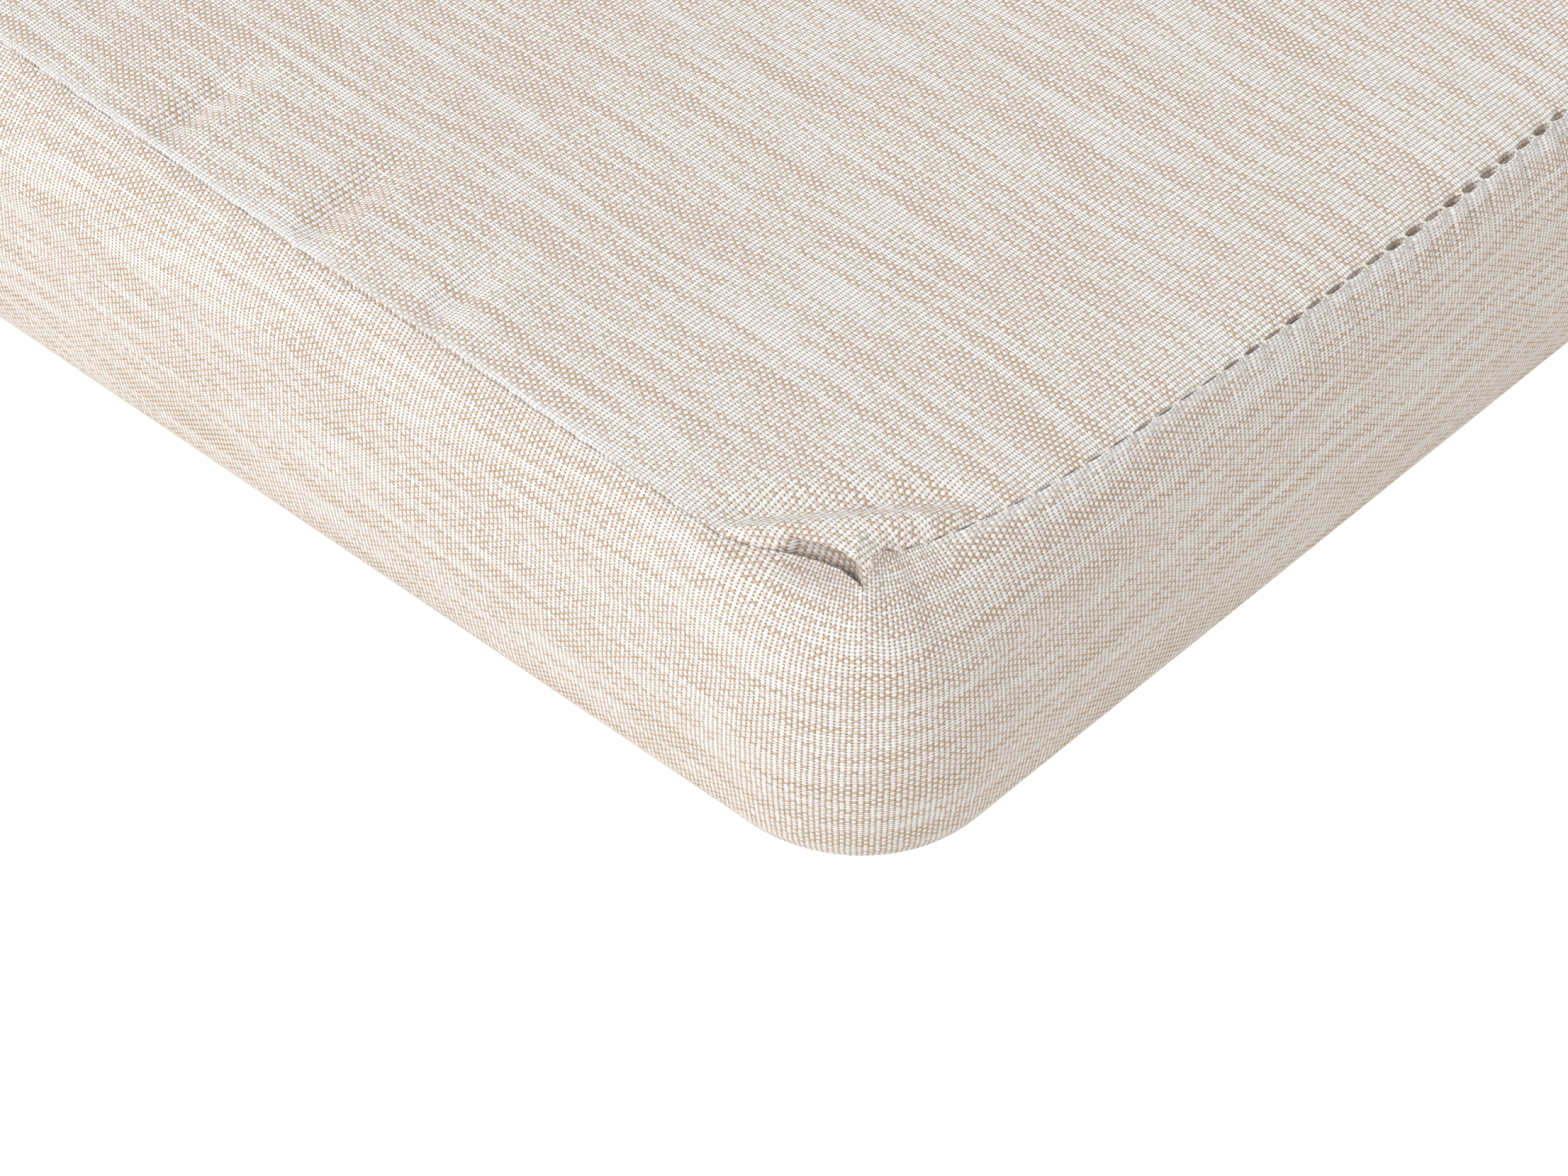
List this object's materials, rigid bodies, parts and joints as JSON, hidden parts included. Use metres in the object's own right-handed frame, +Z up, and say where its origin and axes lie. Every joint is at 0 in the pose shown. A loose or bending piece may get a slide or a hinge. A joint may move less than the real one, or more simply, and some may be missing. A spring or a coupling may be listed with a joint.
{
  "type": "sun lounger cushion",
  "caption": "Long flat box cushion for a sun lounger, cream slub weave, with a side band and a sewn seam round its top.",
  "frame": {"origin": "middle of the flat underside, on the surface that the cushion lies on", "axes": "+X along the cushion's length, +Y across it, +Z up from the underside towards the crowned top"},
  "size_m": [1.902, 0.602, 0.056],
  "materials": {
    "slub_canvas": "plain weave of off-white cross yarns and streaky beige slub yarns, matt"
  },
  "bodies": {
    "root": {"cushion_pad": "slub_canvas"}
  },
  "joints": []
}
